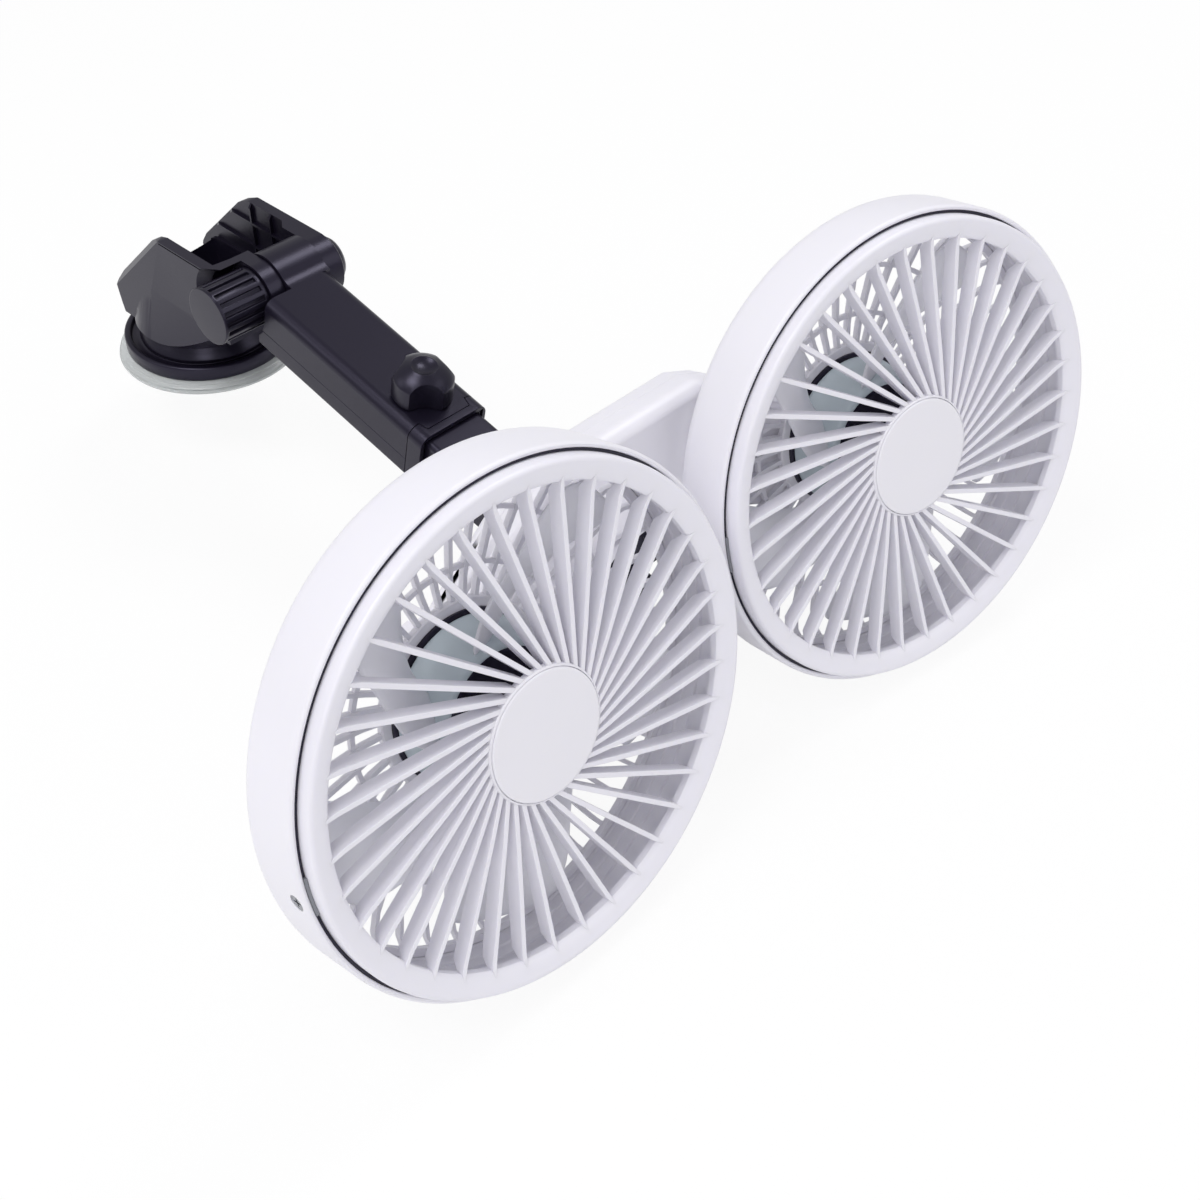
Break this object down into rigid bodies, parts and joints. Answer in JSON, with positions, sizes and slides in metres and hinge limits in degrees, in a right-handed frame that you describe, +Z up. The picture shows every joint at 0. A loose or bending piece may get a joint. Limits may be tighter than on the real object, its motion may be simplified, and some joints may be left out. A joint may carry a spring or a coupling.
{
  "type": "dual-head car fan",
  "caption": "Car fan with two white swirl-grille heads on an arched crossbar, ball joint, telescopic arm and clear suction-cup base with a fluted hinge knob.",
  "frame": {"origin": "middle of the suction cup's bottom face", "axes": "+Z up and away from the surface it sticks to, -Y the way both fans blow, +X to the right seen from in front of the fans, along the hinge bolt"},
  "size_m": [0.3042, 0.3134, 0.1461],
  "materials": {
    "gel": "clear tacky gel",
    "black_plastic": "satin",
    "black_knob": "semi gloss",
    "white_plastic": "semi gloss",
    "grille_plastic": "semi gloss",
    "blade_plastic": "smooth",
    "grey_plastic": "satin",
    "steel": "plated",
    "board": "lacquered"
  },
  "bodies": {
    "base": {"base_plate": "black_plastic", "suction_cup": "gel"},
    "stem": {"suction_stem": "steel"},
    "housing": {"swivel_housing": "black_plastic", "hinge_nut": "black_plastic"},
    "hinge_knob": {"hinge_knob": "black_knob", "hinge_bolt": "steel"},
    "arm": {"arm_upper_shell": "black_plastic", "arm_lower_shell": "black_plastic", "arm_end_cap": "black_plastic"},
    "clamp_knob": {"clamp_knob": "black_knob", "clamp_screw": "steel"},
    "slider": {"arm_slider": "black_plastic"},
    "ball_stud": {"ball_stud": "black_plastic"},
    "crossbar": {"bridge_front": "white_plastic", "bridge_rear": "white_plastic", "ball_socket": "black_plastic", "power_inlet": "grey_plastic", "circuit_board": "board", "left_swivel_pin": "steel", "right_swivel_pin": "steel"},
    "ball_nut": {"ball_nut": "black_knob"},
    "speed_button": {"speed_button": "white_plastic"},
    "left_head": {"left_housing": "white_plastic", "left_front_grille": "grille_plastic", "left_hub_cap": "white_plastic", "left_seam_ring": "black_plastic", "left_rim_latch": "grey_plastic", "left_rim_screw": "steel", "left_rear_grille": "white_plastic", "left_motor": "steel"},
    "left_rotor": {"left_rotor": "blade_plastic", "left_motor_shaft": "steel"},
    "right_head": {"right_housing": "white_plastic", "right_front_grille": "grille_plastic", "right_hub_cap": "white_plastic", "right_seam_ring": "black_plastic", "right_rim_latch": "grey_plastic", "right_rim_screw": "steel", "right_rear_grille": "white_plastic", "right_motor": "steel"},
    "right_rotor": {"right_rotor": "blade_plastic", "right_motor_shaft": "steel"}
  },
  "joints": [
    {"name": "base_turn", "type": "hinge", "parent": "base", "child": "housing", "pos_m": [0, 0, 0.011], "axis": [0, 0, 1], "range_deg": [0, 90]},
    {"name": "stem_lift", "type": "slide", "parent": "base", "child": "stem", "axis": [0, 0, 1], "range_m": [0, 0.003]},
    {"name": "hinge_knob_turn", "type": "hinge", "parent": "housing", "child": "hinge_knob", "pos_m": [0, -0.0474, 0.0453], "axis": [1, 0, 0], "range_deg": [0, 360]},
    {"name": "arm_tilt", "type": "hinge", "parent": "housing", "child": "arm", "pos_m": [0, -0.0474, 0.0453], "axis": [1, 0, 0], "range_deg": [-105, 15]},
    {"name": "clamp_knob_turn", "type": "hinge", "parent": "arm", "child": "clamp_knob", "pos_m": [0, -0.11917, 0.02899], "axis": [0, -0.2215, 0.9751], "range_deg": [0, 360]},
    {"name": "arm_slide", "type": "slide", "parent": "arm", "child": "slider", "axis": [0, -0.9751, -0.2215], "range_m": [-0.028, 0.012]},
    {"name": "ball_pan", "type": "hinge", "parent": "slider", "child": "ball_stud", "pos_m": [0, -0.20722, 0.02611], "axis": [0, -0.2215, 0.9751], "range_deg": [-60, 60]},
    {"name": "ball_tilt", "type": "hinge", "parent": "ball_stud", "child": "crossbar", "pos_m": [0, -0.20722, 0.02611], "axis": [1, 0, 0], "range_deg": [-13, 57]},
    {"name": "ball_nut_turn", "type": "hinge", "parent": "crossbar", "child": "ball_nut", "pos_m": [0, -0.20722, 0.02611], "axis": [0, 0.2368, 0.9715], "range_deg": [0, 180]},
    {"name": "speed_button_push", "type": "slide", "parent": "crossbar", "child": "speed_button", "axis": [0, -0.9715, 0.2368], "range_m": [0, 0.001], "stiffness_N_per_m": 600, "springref_m": -0.0005},
    {"name": "left_head_swivel", "type": "hinge", "parent": "crossbar", "child": "left_head", "pos_m": [-0.081, -0.22011, 0.03533], "axis": [0, 0.2368, 0.9715], "range_deg": [-45, 9]},
    {"name": "right_head_swivel", "type": "hinge", "parent": "crossbar", "child": "right_head", "pos_m": [0.081, -0.22011, 0.03533], "axis": [0, 0.2368, 0.9715], "range_deg": [0, 54]},
    {"name": "left_rotor_spin", "type": "hinge", "parent": "left_head", "child": "left_rotor", "pos_m": [-0.081, -0.25703, 0.04433], "axis": [0, -0.9715, 0.2368], "continuous": true},
    {"name": "right_rotor_spin", "type": "hinge", "parent": "right_head", "child": "right_rotor", "pos_m": [0.07505, -0.25657, 0.04422], "axis": [-0.1564, -0.9596, 0.2339], "continuous": true}
  ],
  "couplings": [
    {"joint": "stem_lift", "follows": "base_turn", "m_per_rad": 0.0019099}
  ]
}
